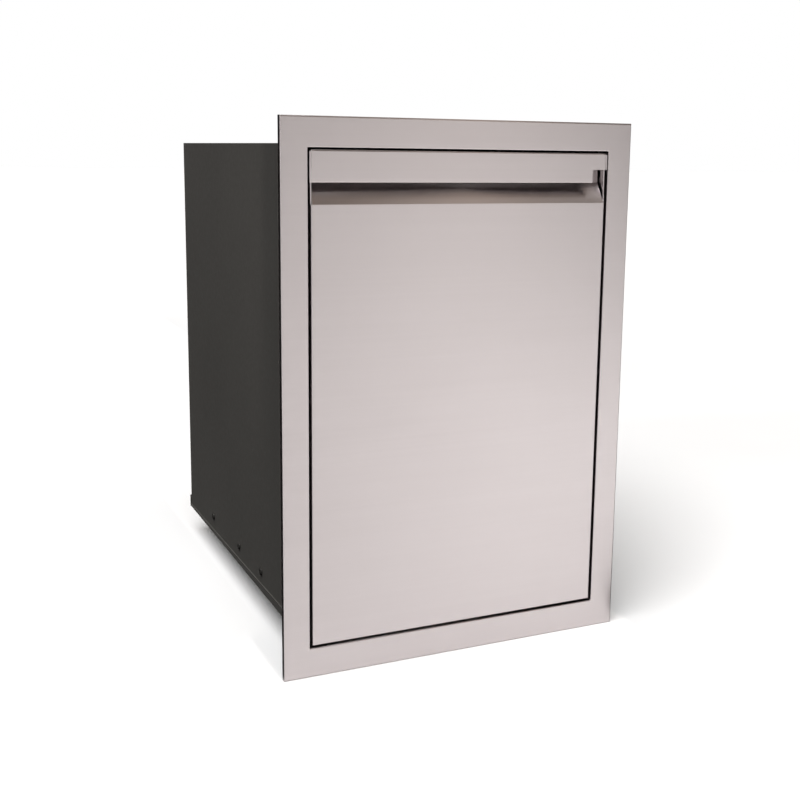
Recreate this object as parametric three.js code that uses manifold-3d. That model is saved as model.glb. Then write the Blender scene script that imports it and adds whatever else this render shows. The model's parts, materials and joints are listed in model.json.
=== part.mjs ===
// A built-in pull-out trash drawer. A picture-frame flange faces the cabinet wall, a sheet-metal
// box hangs behind it, and a drawer front lies flush inside the frame. The front carries a low tray
// with a waste bin on two full-extension ball-bearing slides.
//
// Millimetres. Inside this file x runs to the right as seen from the front, y runs back from the
// face of the frame and z runs up from the frame's lower edge. Left and right are as seen from the
// front: side is -1 on the left and +1 on the right. The last lines move the origin to the middle
// of the footprint.

import * as THREE from 'three';
import { mergeVertices } from 'three/addons/utils/BufferGeometryUtils.js';
import Module from 'manifold-3d';

const wasm = await Module();
wasm.setup();

// ---- Driving dimensions ----

const GAP = 0.3; // between neighbouring pieces
const SHEET = 1.2; // box, tray and drawer sheet
const FRAME_SHEET = 1.5;

// Face frame
const FRAME_WIDTH = 432;
const FRAME_HEIGHT = 622;
const TOTAL_DEPTH = 559;
const RETURN_DEPTH = 7.5; // outer edge folded back
const HEM_WIDTH = 11.5; // and folded in again, to lie on the wall
const COLLAR_DEPTH = 23;
const OPENING_HALF = 185.3;
const OPENING_BOTTOM = 34;
const OPENING_TOP = 589.5;

// Box behind the frame
const BOX_HALF = 188.8; // outside of a side panel
const BOX_BOTTOM = 39.5; // lower edge of a side panel
const BOX_TOP = 593.6;
const BOX_REAR = TOTAL_DEPTH - SHEET - GAP; // the pan's rear edge stands behind the panel
const PAN_EDGE_FRONT = 13; // height of the pan's upturned edge at the frame
const PAN_EDGE_REAR = 4; // and where it dies away at the back
const PAN_REAR_EDGE = 18;
const FLANGE = 16; // inner folds of the top and rear panels

// Drawer front
const FRONT_HALF = 183.6;
const FRONT_BOTTOM = 37;
const FRONT_TOP = 587.2;
const FRONT_THICKNESS = 22;
const RECESS_BOTTOM = 530; // where the face turns back into the finger recess
const RECESS_TOP = 552.9; // lower edge of the lip
const RECESS_DEPTH = 16.5; // to the rear of its sheet; fingers hook up behind the lip
const RECESS_END_GAP = 1.8; // between the recess sheet and the side folds
const EDGE_SETBACK = 2.2; // the side folds are cut back where the recess opens
const NOTCH_WIDTH = 19.3;
const NOTCH_HEIGHT = 15.1;

// Slides
const SLIDE_PLANE = 184; // wall side of the slide, from the middle of the cabinet
const SLIDE_Z = 64;
const SLIDE_FRONT = 26;
const SLIDE_LENGTH = 500;
const SLIDE_HALF_HEIGHT = 22.5;
const SLIDE_THICKNESS = 12.7;
const BALL_RADIUS = 2;
const RETAINER_SHEET = 0.6;
const RETAINER_START = 160;
const RETAINER_LENGTH = 220;
const BALLS_PER_ROW = 6;
const SLIDE_SCREW_Y = [178, 280, 416];
const SLOT_HALF_LENGTH = 18; // slots punched in the members' webs
const SLOT_RADIUS = 5;
const OUTER_SLOT_Y = [100, 229, 348, 480];
const MIDDLE_SLOT_Y = [76, 176, 276, 376, 476];
const INNER_SLOT_Y = [70, 165, 350, 490];

// Tray and brackets
const TRAY_HALF = SLIDE_PLANE - SLIDE_THICKNESS - GAP;
const TRAY_BOTTOM = 50;
const TRAY_TOP = 130;
const TRAY_FRONT = FRONT_THICKNESS - GAP;
const TRAY_REAR = 505;
const BRACKET_TOP = 430;
const BRACKET_REACH = 200;
const BRACKET_SCREW_Z = [200, 380];
const TRAY_SCREW_Y = [120, 440];
const DRAIN_HOLES = [[-120, 80], [120, 80], [-120, 450], [120, 450]]; // x and y in the tray's floor
const LIGHTENING_HOLES = [[85, 190, 24], [62, 280, 15], [48, 350, 8]]; // y, z, radius in a bracket

// Bin
const BIN_BASE = TRAY_BOTTOM + SHEET + GAP;
const BIN_HEIGHT = 480;
const BIN_CENTRE_Y = 260;
const BIN_WALL = 2.5;
const BIN_CORNER = 42;

// Release lever
const LEVER_PIVOT_Y = 262;
const LEVER_LENGTH = 60;

// Closing stops
const STOP_Z = 520;
const STOP_X = 172;

// ---- Materials ----

function metal(color, roughness) {
  return new THREE.MeshStandardMaterial({ color, roughness, metalness: 1, flatShading: true });
}

function plastic(color, roughness) {
  return new THREE.MeshStandardMaterial({ color, roughness, metalness: 0, flatShading: true });
}

const stainless = () => metal(0xc4bcba, 0.34);
const coatedSheet = () => new THREE.MeshStandardMaterial({
  color: 0x41403c,
  roughness: 0.55,
  metalness: 0.3,
  flatShading: true,
});
const zinc = () => metal(0xb9bcbe, 0.4);
const darkSteel = () => metal(0x2c2b29, 0.5);
const rubber = () => plastic(0x1b1b1b, 0.85);
const binPlastic = () => plastic(0x2b2d2f, 0.55);
const leverPlastic = () => plastic(0x1d1e20, 0.5);

// ---- Shape helpers ----

// A closed geometry as a solid that can be joined and cut.
function toSolid(geometry) {
  const bare = geometry.clone();
  bare.deleteAttribute('normal');
  bare.deleteAttribute('uv');
  const merged = mergeVertices(bare, 1e-4);
  return new wasm.Manifold(new wasm.Mesh({
    numProp: 3,
    vertProperties: new Float32Array(merged.attributes.position.array),
    triVerts: new Uint32Array(merged.index.array),
  }));
}

// A rectangular block between two values on each axis, in either order.
function block([x0, x1], [y0, y1], [z0, z1]) {
  const geometry = new THREE.BoxGeometry(Math.abs(x1 - x0), Math.abs(y1 - y0), Math.abs(z1 - z0));
  geometry.translate((x0 + x1) / 2, (y0 + y1) / 2, (z0 + z1) / 2);
  return toSolid(geometry);
}

// Joins any number of solids.
function join(...solids) {
  return solids.reduce((sum, solid) => sum.add(solid));
}

// An outline of [y, z] points, extruded from x0 to x1.
function alongX(outline, x0, x1) {
  const shape = new THREE.Shape(outline.map(([y, z]) => new THREE.Vector2(y, z)));
  const depth = Math.abs(x1 - x0);
  const geometry = new THREE.ExtrudeGeometry(shape, { depth, bevelEnabled: false });
  const turn = new THREE.Matrix4().makeBasis(
    new THREE.Vector3(0, 1, 0),
    new THREE.Vector3(0, 0, 1),
    new THREE.Vector3(1, 0, 0),
  );
  geometry.applyMatrix4(turn);
  geometry.translate(Math.min(x0, x1), 0, 0);
  return toSolid(geometry);
}

// A turned shape: [radius, distance] points from axis to axis, set along an axis from a point.
function turned(profile, segments, axis, at) {
  const points = profile.map(([radius, distance]) => new THREE.Vector2(radius, distance));
  const geometry = new THREE.LatheGeometry(points, segments);
  const turn = new THREE.Quaternion().setFromUnitVectors(new THREE.Vector3(0, 1, 0), axis);
  geometry.applyQuaternion(turn);
  geometry.translate(...at);
  return toSolid(geometry);
}

// A round hole or post along an axis.
function cylinder(radius, length, axis, at, segments = 12) {
  return turned([[0, 0], [radius, 0], [radius, length], [0, length]], segments, axis, at);
}

// A rounded rectangle of points around a centre, at one height.
function roundedRing(width, depth, corner, centreY, z) {
  const stepsPerCorner = 4;
  const points = [];
  const corners = [[1, 1], [-1, 1], [-1, -1], [1, -1]];
  corners.forEach(([signX, signY], index) => {
    for (let step = 0; step <= stepsPerCorner; step += 1) {
      const angle = (index + step / stepsPerCorner) * Math.PI / 2;
      const x = signX * (width / 2 - corner) + corner * Math.cos(angle);
      const y = signY * (depth / 2 - corner) + corner * Math.sin(angle);
      points.push([x, y + centreY, z]);
    }
  });
  return points;
}

// A closed skin over rings of equal count, with a flat cap on the first and the last.
function loft(rings) {
  const count = rings[0].length;
  const positions = rings.flat(2);
  const indices = [];
  for (let ring = 0; ring < rings.length - 1; ring += 1) {
    for (let step = 0; step < count; step += 1) {
      const a = ring * count + step;
      const b = ring * count + (step + 1) % count;
      indices.push(a, b, b + count, a, b + count, a + count);
    }
  }
  const last = (rings.length - 1) * count;
  for (let step = 1; step < count - 1; step += 1) {
    indices.push(0, step + 1, step);
    indices.push(last, last + step, last + step + 1);
  }
  const geometry = new THREE.BufferGeometry();
  geometry.setAttribute('position', new THREE.Float32BufferAttribute(positions, 3));
  geometry.setIndex(indices);
  return toSolid(geometry);
}

const group = new THREE.Group();

// Adds a named sub-part to the model.
function addPart(name, solid, material) {
  const { vertProperties, triVerts } = solid.getMesh();
  const geometry = new THREE.BufferGeometry();
  geometry.setAttribute('position', new THREE.BufferAttribute(new Float32Array(vertProperties), 3));
  geometry.setIndex(new THREE.BufferAttribute(new Uint32Array(triVerts), 1));
  geometry.computeVertexNormals();
  const mesh = new THREE.Mesh(geometry, material);
  mesh.name = name;
  group.add(mesh);
}

const sideName = (side) => (side < 0 ? 'left' : 'right');
const BOTH_SIDES = [-1, 1];
const ALONG_Y = new THREE.Vector3(0, 1, 0);
const UPWARD = new THREE.Vector3(0, 0, 1);
const outward = (side) => new THREE.Vector3(side, 0, 0);

// ---- Cabinet ----

// A flat rectangular ring: the outer rectangle less the opening, grown by margin.
function openingRing(outer, margin, yRange) {
  const hole = block(
    [-OPENING_HALF - margin, OPENING_HALF + margin],
    [yRange[0] - 1, yRange[1] + 1],
    [OPENING_BOTTOM - margin, OPENING_TOP + margin],
  );
  return block(outer.x, yRange, outer.z).subtract(hole);
}

function faceFrame() {
  const outer = { x: [-FRAME_WIDTH / 2, FRAME_WIDTH / 2], z: [0, FRAME_HEIGHT] };
  const plate = openingRing(outer, 0, [0, FRAME_SHEET]);
  const inset = (amount, yRange) => block(
    [outer.x[0] + amount, outer.x[1] - amount],
    yRange,
    [amount, FRAME_HEIGHT - amount],
  );
  const edge = inset(0, [0, RETURN_DEPTH]).subtract(inset(FRAME_SHEET, [-1, RETURN_DEPTH + 1]));
  const hemRange = [RETURN_DEPTH - FRAME_SHEET, RETURN_DEPTH];
  const hem = inset(0, hemRange).subtract(inset(HEM_WIDTH, [-1, RETURN_DEPTH + 1]));
  const collarOuter = {
    x: [-OPENING_HALF - FRAME_SHEET, OPENING_HALF + FRAME_SHEET],
    z: [OPENING_BOTTOM - FRAME_SHEET, OPENING_TOP + FRAME_SHEET],
  };
  const collar = openingRing(collarOuter, 0, [0, COLLAR_DEPTH]);
  return join(plate, edge, hem, collar);
}

function sidePanel(side) {
  const panel = block(
    [side * (BOX_HALF - SHEET), side * BOX_HALF],
    [FRAME_SHEET + GAP, BOX_REAR],
    [BOX_BOTTOM, BOX_TOP],
  );
  return drillSlideHoles(panel, side);
}

// Clearance holes for the three screws that hold a slide.
function drillSlideHoles(solid, side) {
  const start = side * (SLIDE_PLANE - 3);
  return SLIDE_SCREW_Y.reduce(
    (sum, y) => sum.subtract(cylinder(2.6, 10, outward(side), [start, y, SLIDE_Z])),
    solid,
  );
}

function topPanel() {
  const half = BOX_HALF - SHEET - GAP;
  const sheet = block([-half, half], [FRAME_SHEET + GAP, BOX_REAR], [BOX_TOP - SHEET, BOX_TOP]);
  const folds = BOTH_SIDES.map((side) => block(
    [side * (half - SHEET), side * half],
    [COLLAR_DEPTH + GAP, BOX_REAR - SHEET - FLANGE - 2 * GAP],
    [BOX_TOP - FLANGE, BOX_TOP],
  ));
  return join(sheet, ...folds);
}

function rearPanel() {
  const half = BOX_HALF - SHEET - GAP;
  const zRange = [BOX_BOTTOM + GAP, BOX_TOP - SHEET - GAP];
  const sheet = block([-half, half], [BOX_REAR - SHEET, BOX_REAR], zRange);
  const folds = BOTH_SIDES.map((side) => block(
    [side * (half - SHEET), side * half],
    [BOX_REAR - SHEET - FLANGE, BOX_REAR],
    zRange,
  ));
  return join(sheet, ...folds);
}

// The pan wraps the lower edges of the side and rear panels from outside.
function bottomPan() {
  const top = BOX_BOTTOM - GAP;
  const bottom = top - SHEET;
  const edgeInner = BOX_HALF + GAP;
  const edgeOuter = edgeInner + SHEET;
  const front = COLLAR_DEPTH + GAP;
  const floor = block([-edgeOuter, edgeOuter], [front, TOTAL_DEPTH], [bottom, top]);
  const frontFold = block(
    [-OPENING_HALF, OPENING_HALF],
    [front, front + SHEET],
    [OPENING_BOTTOM - FRAME_SHEET, top],
  );
  const rearFold = block(
    [-edgeOuter, edgeOuter],
    [TOTAL_DEPTH - SHEET, TOTAL_DEPTH],
    [bottom, bottom + PAN_REAR_EDGE],
  );
  const edgeOutline = [
    [RETURN_DEPTH + GAP, bottom],
    [TOTAL_DEPTH, bottom],
    [TOTAL_DEPTH, bottom + PAN_EDGE_REAR],
    [RETURN_DEPTH + GAP, bottom + PAN_EDGE_FRONT],
  ];
  const edges = BOTH_SIDES.map((side) => alongX(edgeOutline, side * edgeInner, side * edgeOuter));
  return join(floor, frontFold, rearFold, ...edges);
}

// A shallow channel that spaces the slide off the side panel, clear of the frame's collar.
function slideRail(side) {
  const wall = BOX_HALF - SHEET - GAP;
  const face = SLIDE_PLANE + GAP;
  const yRange = [SLIDE_FRONT, SLIDE_FRONT + SLIDE_LENGTH];
  const bottom = BOX_BOTTOM + 1;
  const top = SLIDE_Z + SLIDE_HALF_HEIGHT - 1;
  const rail = join(
    block([side * face, side * (face + SHEET)], yRange, [bottom, top]),
    block([side * face, side * wall], yRange, [bottom, bottom + SHEET]),
    block([side * face, side * wall], yRange, [top - SHEET, top]),
    block([side * (wall - SHEET), side * wall], yRange, [top - SHEET, top + 10]),
  );
  return drillSlideHoles(rail, side);
}

// ---- Slides ----

// A slide member's place, from distance off the wall plane to x.
const slideX = (side, distance) => side * (SLIDE_PLANE - distance);

// A channel along the slide: a web at one distance, and folds from there to another distance.
function channel(side, { web, reach, halfHeight, sheet }, [y0, y1]) {
  const webFar = web + Math.sign(reach - web) * sheet;
  const webBlock = block(
    [slideX(side, web), slideX(side, webFar)],
    [y0, y1],
    [SLIDE_Z - halfHeight, SLIDE_Z + halfHeight],
  );
  const folds = [-1, 1].map((end) => block(
    [slideX(side, web), slideX(side, reach)],
    [y0, y1],
    [SLIDE_Z + end * (halfHeight - sheet), SLIDE_Z + end * halfHeight],
  ));
  return join(webBlock, ...folds);
}

const OUTER_HALF = SLIDE_HALF_HEIGHT;
const BALL_ROOM = 2 * BALL_RADIUS + 2 * GAP;
const MIDDLE_HALF = OUTER_HALF - SHEET - BALL_ROOM;
const INNER_HALF = MIDDLE_HALF - SHEET - BALL_ROOM;
const OUTER_REACH = 11;
const RETAINER_WEB = SHEET + GAP;
const MIDDLE_WEB = RETAINER_WEB + RETAINER_SHEET + GAP;
const INNER_RETAINER_WEB = MIDDLE_WEB + SHEET + GAP;
const INNER_REACH = 5;
const SLIDE_END = SLIDE_FRONT + SLIDE_LENGTH;
const STOP_LENGTH = 8;

// Cuts round-ended slots through a member's web.
function punchSlots(solid, side, places) {
  const start = slideX(side, SLIDE_THICKNESS + 1);
  const straight = SLOT_HALF_LENGTH - SLOT_RADIUS;
  const through = SLIDE_THICKNESS + 2;
  return places.reduce((sum, y) => {
    const ends = [-1, 1].map((end) => (
      cylinder(SLOT_RADIUS, through, outward(side), [start, y + end * straight, SLIDE_Z], 16)
    ));
    const middle = block(
      [start, start + side * through],
      [y - straight, y + straight],
      [SLIDE_Z - SLOT_RADIUS, SLIDE_Z + SLOT_RADIUS],
    );
    return sum.subtract(join(middle, ...ends));
  }, solid);
}

function slideOuter(side) {
  const yRange = [SLIDE_FRONT, SLIDE_END + STOP_LENGTH];
  const body = channel(side, {
    web: 0,
    reach: OUTER_REACH,
    halfHeight: OUTER_HALF,
    sheet: SHEET,
  }, yRange);
  const lips = [-1, 1].map((end) => block(
    [slideX(side, OUTER_REACH - SHEET), slideX(side, OUTER_REACH)],
    yRange,
    [SLIDE_Z + end * (OUTER_HALF - 2 * SHEET), SLIDE_Z + end * OUTER_HALF],
  ));
  return punchSlots(drillSlideHoles(join(body, ...lips), side), side, OUTER_SLOT_Y);
}

function slideMiddle(side) {
  const body = channel(side, {
    web: MIDDLE_WEB,
    reach: OUTER_REACH,
    halfHeight: MIDDLE_HALF,
    sheet: SHEET,
  }, [SLIDE_FRONT, SLIDE_END]);
  return punchSlots(body, side, MIDDLE_SLOT_Y);
}

// The inner member is screwed to the tray and opens towards the wall.
function slideInner(side) {
  const body = channel(side, {
    web: SLIDE_THICKNESS,
    reach: INNER_REACH,
    halfHeight: INNER_HALF,
    sheet: SHEET,
  }, [SLIDE_FRONT, SLIDE_END]);
  const start = slideX(side, SLIDE_THICKNESS + 1);
  const drilled = TRAY_SCREW_Y.reduce(
    (sum, y) => sum.subtract(cylinder(2.4, 4, outward(side), [start, y, SLIDE_Z])),
    body,
  );
  const pivotHole = cylinder(1.9, 4, outward(side), [start, LEVER_PIVOT_Y, SLIDE_Z]);
  return punchSlots(drilled.subtract(pivotHole), side, INNER_SLOT_Y);
}

// A ball retainer: a thin channel that carries a row of balls above and below.
function ballRetainer(side, { web, reach, ballDistance, ballHeight }) {
  const strip = channel(side, {
    web,
    reach,
    halfHeight: ballHeight + RETAINER_SHEET / 2,
    sheet: RETAINER_SHEET,
  }, [RETAINER_START, RETAINER_START + RETAINER_LENGTH]);
  const pitch = RETAINER_LENGTH / BALLS_PER_ROW;
  const balls = [-1, 1].flatMap((end) => Array.from({ length: BALLS_PER_ROW }, (_, index) => {
    const ball = new THREE.SphereGeometry(BALL_RADIUS, 8, 6);
    const y = RETAINER_START + (index + 0.5) * pitch;
    ball.translate(slideX(side, ballDistance), y, SLIDE_Z + end * ballHeight);
    return toSolid(ball);
  }));
  return join(strip, ...balls);
}

const outerRetainer = (side) => ballRetainer(side, {
  web: RETAINER_WEB,
  reach: 8.5,
  ballDistance: 6,
  ballHeight: OUTER_HALF - SHEET - BALL_ROOM / 2,
});

const innerRetainer = (side) => ballRetainer(side, {
  web: INNER_RETAINER_WEB,
  reach: 9.5,
  ballDistance: 7.5,
  ballHeight: MIDDLE_HALF - SHEET - BALL_ROOM / 2,
});

function slideBumper(side) {
  return block(
    [slideX(side, SHEET + GAP), slideX(side, 9)],
    [SLIDE_END + GAP, SLIDE_END + STOP_LENGTH],
    [SLIDE_Z - 12, SLIDE_Z + 12],
  );
}

// The plastic lever that lets the inner member off the middle one. It lies in the inner channel.
const LEVER_NEAR = 8.4;
const LEVER_FAR = SLIDE_THICKNESS - SHEET - GAP;

function releaseLever(side) {
  const rootHalf = 4.5;
  const tipHalf = 2;
  const outline = [
    [LEVER_PIVOT_Y + rootHalf, SLIDE_Z - rootHalf + 1.5],
    [LEVER_PIVOT_Y + rootHalf, SLIDE_Z + rootHalf - 1.5],
    [LEVER_PIVOT_Y + rootHalf - 1.5, SLIDE_Z + rootHalf],
    [LEVER_PIVOT_Y - rootHalf, SLIDE_Z + rootHalf],
    [LEVER_PIVOT_Y - 14, SLIDE_Z + tipHalf],
    [LEVER_PIVOT_Y - LEVER_LENGTH, SLIDE_Z + tipHalf],
    [LEVER_PIVOT_Y - LEVER_LENGTH, SLIDE_Z - tipHalf - 2],
    [LEVER_PIVOT_Y - LEVER_LENGTH + 12, SLIDE_Z - tipHalf - 2],
    [LEVER_PIVOT_Y - LEVER_LENGTH + 16, SLIDE_Z - tipHalf],
    [LEVER_PIVOT_Y - 14, SLIDE_Z - tipHalf],
    [LEVER_PIVOT_Y - rootHalf, SLIDE_Z - rootHalf],
    [LEVER_PIVOT_Y + rootHalf - 1.5, SLIDE_Z - rootHalf],
  ];
  const lever = alongX(outline, slideX(side, LEVER_NEAR), slideX(side, LEVER_FAR));
  const start = slideX(side, SLIDE_THICKNESS);
  return lever.subtract(cylinder(1.9, 6, outward(side), [start, LEVER_PIVOT_Y, SLIDE_Z]));
}

function leverPivot(side) {
  const inside = SLIDE_THICKNESS - LEVER_NEAR + GAP;
  const profile = [[0, 0.1], [1.6, 0.1], [1.6, inside], [3, inside], [3, inside + 1], [0, inside + 1]];
  return turned(profile, 12, outward(side), [slideX(side, SLIDE_THICKNESS), LEVER_PIVOT_Y, SLIDE_Z]);
}

// A pan-head screw: head outside, shank running back along the axis from the head's seat.
function panScrew(shank, axis, seat) {
  const headRadius = 5;
  const headHeight = 2.2;
  const profile = [
    [0, -shank],
    [2, -shank],
    [2, 0],
    [headRadius, 0],
    [headRadius, headHeight * 0.5],
    [headRadius * 0.6, headHeight],
    [0, headHeight],
  ];
  return turned(profile, 12, axis, seat);
}

// ---- Drawer front ----

// One bent sheet: the face, the slope into the recess, its back wall, the top and the lip. Folds
// at the sides and the bottom make it a shallow pan.
function drawerFront() {
  const innerHalf = FRONT_HALF - SHEET;
  const shell = block(
    [-FRONT_HALF, FRONT_HALF],
    [0, FRONT_THICKNESS],
    [FRONT_BOTTOM, FRONT_TOP],
  );
  const hollow = block(
    [-innerHalf, innerHalf],
    [SHEET, FRONT_THICKNESS + 1],
    [FRONT_BOTTOM + SHEET, FRONT_TOP - SHEET],
  );
  const mouth = block(
    [-FRONT_HALF - 1, FRONT_HALF + 1],
    [-1, EDGE_SETBACK],
    [RECESS_BOTTOM, RECESS_TOP],
  );
  const notch = block(
    [FRONT_HALF - NOTCH_WIDTH, FRONT_HALF + 1],
    [-1, EDGE_SETBACK],
    [RECESS_TOP - 1, RECESS_TOP + NOTCH_HEIGHT],
  );
  const pan = shell.subtract(hollow).subtract(mouth).subtract(notch);
  const recessHalf = innerHalf - RECESS_END_GAP;
  const recessOutline = [
    [0, RECESS_BOTTOM],
    [RECESS_DEPTH - SHEET, RECESS_TOP],
    [RECESS_DEPTH - SHEET, FRONT_TOP],
    [RECESS_DEPTH, FRONT_TOP],
    [RECESS_DEPTH, RECESS_TOP - SHEET / 2],
    [SHEET, RECESS_BOTTOM - SHEET],
    [0, RECESS_BOTTOM - SHEET],
  ];
  return pan.add(alongX(recessOutline, -recessHalf, recessHalf));
}

function frontLiner() {
  const half = FRONT_HALF - SHEET - GAP;
  const rear = FRONT_THICKNESS - 2 * GAP;
  const sheet = block(
    [-half, half],
    [rear - SHEET, rear],
    [FRONT_BOTTOM + SHEET + GAP, FRONT_TOP - SHEET - GAP],
  );
  return drillBracketHoles(sheet);
}

// Clearance holes for the screws that hold the two brackets to the drawer front.
function drillBracketHoles(solid) {
  let drilled = solid;
  BOTH_SIDES.forEach((side) => BRACKET_SCREW_Z.forEach((z) => {
    drilled = drilled.subtract(cylinder(2.4, 10, ALONG_Y, [side * BRACKET_SCREW_X, 17, z]));
  }));
  return drilled;
}

// ---- Tray and brackets ----

const BRACKET_HALF = TRAY_HALF - SHEET - GAP; // outside of a bracket's plate
const BRACKET_SCREW_X = BRACKET_HALF - 12;

function binTray() {
  const shell = block([-TRAY_HALF, TRAY_HALF], [TRAY_FRONT, TRAY_REAR], [TRAY_BOTTOM, TRAY_TOP]);
  const hollow = block(
    [-TRAY_HALF + SHEET, TRAY_HALF - SHEET],
    [TRAY_FRONT + SHEET, TRAY_REAR - SHEET],
    [TRAY_BOTTOM + SHEET, TRAY_TOP + 1],
  );
  let tray = shell.subtract(hollow);
  DRAIN_HOLES.forEach(([x, y]) => {
    tray = tray.subtract(cylinder(5, 4, UPWARD, [x, y, TRAY_BOTTOM - 1], 16));
  });
  BOTH_SIDES.forEach((side) => {
    tray = drillTrayHoles(tray, side, TRAY_SCREW_Y);
  });
  return tray;
}

// Clearance holes for the screws between the tray and the inner slide member.
function drillTrayHoles(solid, side, places) {
  return places.reduce(
    (sum, y) => sum.subtract(
      cylinder(2.4, 6, outward(side), [side * (BRACKET_HALF - 3), y, SLIDE_Z]),
    ),
    solid,
  );
}

// A tall triangular plate inside the tray's wall, with a fold that lies on the drawer front.
function frontBracket(side) {
  const foldTop = BRACKET_TOP;
  const aboveTray = TRAY_TOP + 2.5;
  const outline = [
    [TRAY_FRONT, aboveTray],
    [TRAY_FRONT, foldTop],
    [TRAY_FRONT + 24, foldTop],
    [BRACKET_REACH, aboveTray],
    [BRACKET_REACH, TRAY_BOTTOM + 5],
    [TRAY_FRONT + SHEET + GAP, TRAY_BOTTOM + 5],
    [TRAY_FRONT + SHEET + GAP, aboveTray],
  ];
  const plate = alongX(outline, side * (BRACKET_HALF - SHEET), side * BRACKET_HALF);
  const fold = block(
    [side * (BRACKET_HALF - 24), side * BRACKET_HALF],
    [TRAY_FRONT, TRAY_FRONT + SHEET],
    [aboveTray, foldTop],
  );
  const drilled = drillBracketHoles(plate.add(fold));
  const start = side * (BRACKET_HALF - 3);
  const lightened = LIGHTENING_HOLES.reduce(
    (sum, [y, z, radius]) => sum.subtract(cylinder(radius, 6, outward(side), [start, y, z], 32)),
    drilled,
  );
  return drillTrayHoles(lightened, side, TRAY_SCREW_Y.slice(0, 1));
}

// ---- Closing stops ----

function stopBracket(side) {
  const wall = BOX_HALF - SHEET - GAP;
  const zRange = [STOP_Z - 18, STOP_Z + 18];
  const foot = block([side * (wall - SHEET), side * wall], [26, 66], zRange);
  const arm = block([side * (STOP_X - 9), side * wall], [26, 26 + SHEET], zRange);
  return foot.add(arm);
}

function stopBumper(side) {
  const rear = 26 - GAP;
  const front = FRONT_THICKNESS - GAP;
  const length = rear - front;
  const profile = [[0, 0], [4.5, 0], [6.2, 1], [7, length], [0, length]];
  return turned(profile, 16, ALONG_Y, [side * STOP_X, front, STOP_Z]);
}

// ---- Bin ----

function wasteBin() {
  const base = { width: 262, depth: 380 };
  const mouth = { width: 296, depth: 416 };
  const rim = { width: 310, depth: 430 };
  const rimHeight = 12;
  const top = BIN_BASE + BIN_HEIGHT;
  const ring = ({ width, depth }, inset, z) => roundedRing(
    width - 2 * inset,
    depth - 2 * inset,
    BIN_CORNER - inset,
    BIN_CENTRE_Y,
    z,
  );
  return loft([
    ring(base, 4, BIN_BASE),
    ring(base, 0, BIN_BASE + 6),
    ring(mouth, 0, top - rimHeight - 2),
    ring(rim, 0, top - rimHeight),
    ring(rim, 0, top),
    ring(mouth, BIN_WALL, top),
    ring(base, BIN_WALL, BIN_BASE + 8),
    ring(base, 6, BIN_BASE + 4),
  ]);
}

// ---- Assembly ----

addPart('face_frame', faceFrame(), stainless());
addPart('top_panel', topPanel(), coatedSheet());
addPart('rear_panel', rearPanel(), coatedSheet());
addPart('bottom_pan', bottomPan(), coatedSheet());
addPart('drawer_front', drawerFront(), stainless());
addPart('front_liner', frontLiner(), stainless());
addPart('bin_tray', binTray(), stainless());
addPart('waste_bin', wasteBin(), binPlastic());

BOTH_SIDES.forEach((side) => {
  const end = sideName(side);
  addPart(`side_panel_${end}`, sidePanel(side), coatedSheet());
  addPart(`slide_rail_${end}`, slideRail(side), zinc());
  addPart(`slide_outer_${end}`, slideOuter(side), zinc());
  addPart(`slide_middle_${end}`, slideMiddle(side), zinc());
  addPart(`slide_inner_${end}`, slideInner(side), zinc());
  addPart(`outer_retainer_${end}`, outerRetainer(side), zinc());
  addPart(`inner_retainer_${end}`, innerRetainer(side), zinc());
  addPart(`slide_bumper_${end}`, slideBumper(side), rubber());
  addPart(`release_lever_${end}`, releaseLever(side), leverPlastic());
  addPart(`lever_pivot_${end}`, leverPivot(side), zinc());
  addPart(`front_bracket_${end}`, frontBracket(side), stainless());
  addPart(`stop_bracket_${end}`, stopBracket(side), zinc());
  addPart(`stop_bumper_${end}`, stopBumper(side), rubber());

  SLIDE_SCREW_Y.forEach((y, index) => {
    const seat = [side * (BOX_HALF + GAP), y, SLIDE_Z];
    const shank = BOX_HALF + GAP - SLIDE_PLANE + SHEET - 0.1;
    const screw = panScrew(shank, outward(side), seat);
    addPart(`slide_screw_${end}_${index + 1}`, screw, darkSteel());
  });

  BRACKET_SCREW_Z.forEach((z, index) => {
    const seat = [side * BRACKET_SCREW_X, TRAY_FRONT + SHEET + GAP, z];
    addPart(`bracket_screw_${end}_${index + 1}`, panScrew(5, ALONG_Y, seat), zinc());
  });

  TRAY_SCREW_Y.forEach((y, index) => {
    const behindBracket = y < BRACKET_REACH;
    const seatX = behindBracket ? BRACKET_HALF - SHEET - GAP : TRAY_HALF - SHEET - GAP;
    const shank = SLIDE_PLANE - SLIDE_THICKNESS + SHEET + 0.6 - seatX;
    const screw = panScrew(shank, outward(-side), [side * seatX, y, SLIDE_Z]);
    addPart(`tray_screw_${end}_${index + 1}`, screw, zinc());
  });
});

group.position.set(0, -TOTAL_DEPTH / 2, 0);

export default group;
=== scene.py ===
"""The looks of a built-in pull-out trash drawer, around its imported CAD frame.

Metres, in the row frame: +X right as seen from the front, +Y back, +Z up. The face of the frame
looks towards -Y. Depths below are measured back from that face, and heights up from the frame's
lower edge. side is -1 on the left and +1 on the right, as seen from the front.
"""

import json
import math

import bmesh
import bpy
from mathutils import Matrix, Vector


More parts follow.
